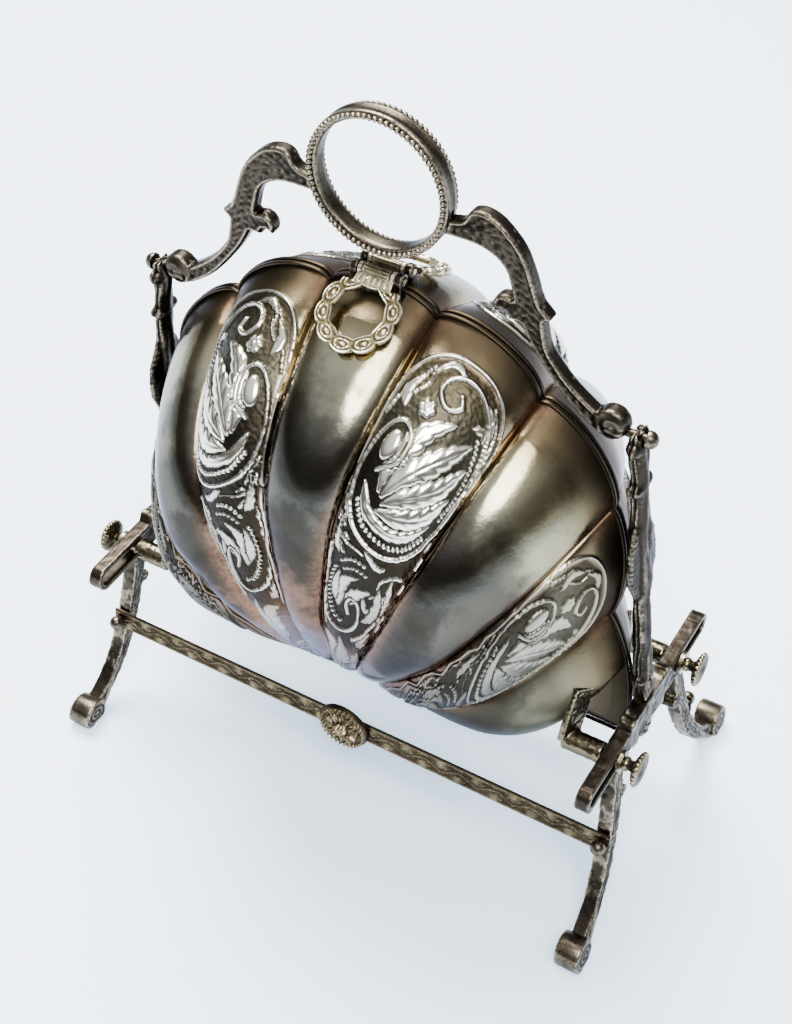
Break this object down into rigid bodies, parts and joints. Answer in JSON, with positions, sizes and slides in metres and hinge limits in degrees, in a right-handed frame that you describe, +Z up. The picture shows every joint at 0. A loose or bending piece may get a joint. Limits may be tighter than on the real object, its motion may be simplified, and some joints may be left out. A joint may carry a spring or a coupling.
{
  "type": "folding biscuit box",
  "caption": "Scallop-shell biscuit box: ribbed halves on a branch-work stand fall open on sliding pivots, each with a pierced inner grille and a pull ring, under a ring handle.",
  "frame": {"origin": "on the table, under the middle of the box", "axes": "+X along the box from end frame to end frame, -Y towards the front shell, +Z up"},
  "size_m": [0.2292, 0.134, 0.2815],
  "materials": {
    "tarnished_silver": "cast silver plate with dark tarnish in its hollows",
    "silver_plate": "polished silver plate, yellowed and worn to copper on the edges",
    "pale_gilt": "bright pale gilt casting",
    "worn_brass": "worn plate on turned brass"
  },
  "bodies": {
    "stand": {"left_leg_frame": "tarnished_silver", "right_leg_frame": "tarnished_silver", "left_upright": "tarnished_silver", "right_upright": "tarnished_silver", "left_finial_screw": "tarnished_silver", "right_finial_screw": "tarnished_silver", "left_handle_arm": "tarnished_silver", "right_handle_arm": "tarnished_silver", "handle_rivets": "tarnished_silver", "handle_ring": "tarnished_silver", "handle_ring_front_bead": "tarnished_silver", "handle_ring_back_bead": "tarnished_silver", "front_stretcher": "tarnished_silver", "back_stretcher": "tarnished_silver", "stretcher_rivets": "tarnished_silver", "front_rosette": "tarnished_silver", "back_rosette": "tarnished_silver"},
    "front_slider": {"front_left_slot_bush": "worn_brass", "front_right_slot_bush": "worn_brass"},
    "front_half": {"front_shell": "silver_plate", "front_rim_wire": "silver_plate", "front_left_lug": "worn_brass", "front_right_lug": "worn_brass", "front_ring_bracket": "pale_gilt", "front_ring_pin": "pale_gilt", "front_grille_knuckles": "silver_plate", "front_grille_pin": "worn_brass"},
    "front_grille_flap": {"front_grille": "silver_plate", "front_grille_knob": "pale_gilt"},
    "front_ring": {"front_pull_ring": "pale_gilt"},
    "front_left_screw": {"front_left_thumb_screw": "worn_brass"},
    "front_right_screw": {"front_right_thumb_screw": "worn_brass"},
    "back_slider": {"back_left_slot_bush": "worn_brass", "back_right_slot_bush": "worn_brass"},
    "back_half": {"back_shell": "silver_plate", "back_rim_wire": "silver_plate", "back_left_lug": "worn_brass", "back_right_lug": "worn_brass", "back_ring_bracket": "pale_gilt", "back_ring_pin": "pale_gilt", "back_grille_knuckles": "silver_plate", "back_grille_pin": "worn_brass"},
    "back_grille_flap": {"back_grille": "silver_plate", "back_grille_knob": "pale_gilt"},
    "back_ring": {"back_pull_ring": "pale_gilt"},
    "back_left_screw": {"back_left_thumb_screw": "worn_brass"},
    "back_right_screw": {"back_right_thumb_screw": "worn_brass"}
  },
  "joints": [
    {"name": "front_slide", "type": "slide", "parent": "stand", "child": "front_slider", "axis": [0, -1, 0], "range_m": [0, 0.0192]},
    {"name": "front_open", "type": "hinge", "parent": "front_slider", "child": "front_half", "pos_m": [0, -0.0255, 0.0735], "axis": [1, 0, 0], "range_deg": [0, 90]},
    {"name": "front_grille_lift", "type": "hinge", "parent": "front_half", "child": "front_grille_flap", "pos_m": [0, -0.0055, 0.0619], "axis": [1, 0, 0], "range_deg": [-81, 0]},
    {"name": "front_ring_lift", "type": "hinge", "parent": "front_half", "child": "front_ring", "pos_m": [0, -0.003, 0.2254], "axis": [-1, 0, 0], "range_deg": [0, 84]},
    {"name": "front_left_screw_turn", "type": "hinge", "parent": "front_half", "child": "front_left_screw", "pos_m": [-0.1, -0.0255, 0.0735], "axis": [-1, 0, 0], "continuous": true},
    {"name": "front_right_screw_turn", "type": "hinge", "parent": "front_half", "child": "front_right_screw", "pos_m": [0.1, -0.0255, 0.0735], "axis": [1, 0, 0], "continuous": true},
    {"name": "back_slide", "type": "slide", "parent": "stand", "child": "back_slider", "axis": [0, 1, 0], "range_m": [0, 0.0192]},
    {"name": "back_open", "type": "hinge", "parent": "back_slider", "child": "back_half", "pos_m": [0, 0.0255, 0.0735], "axis": [-1, 0, 0], "range_deg": [0, 90]},
    {"name": "back_grille_lift", "type": "hinge", "parent": "back_half", "child": "back_grille_flap", "pos_m": [0, 0.0055, 0.0619], "axis": [-1, 0, 0], "range_deg": [-81, 0]},
    {"name": "back_ring_lift", "type": "hinge", "parent": "back_half", "child": "back_ring", "pos_m": [0, 0.003, 0.2254], "axis": [1, 0, 0], "range_deg": [0, 84]},
    {"name": "back_left_screw_turn", "type": "hinge", "parent": "back_half", "child": "back_left_screw", "pos_m": [-0.1, 0.0255, 0.0735], "axis": [-1, 0, 0], "continuous": true},
    {"name": "back_right_screw_turn", "type": "hinge", "parent": "back_half", "child": "back_right_screw", "pos_m": [0.1, 0.0255, 0.0735], "axis": [1, 0, 0], "continuous": true}
  ],
  "couplings": [
    {"joint": "front_slide", "follows": "front_open", "m_per_rad": 0.01222},
    {"joint": "front_grille_lift", "follows": "front_open", "ratio": -0.9},
    {"joint": "back_slide", "follows": "back_open", "m_per_rad": 0.01222},
    {"joint": "back_grille_lift", "follows": "back_open", "ratio": -0.9}
  ]
}
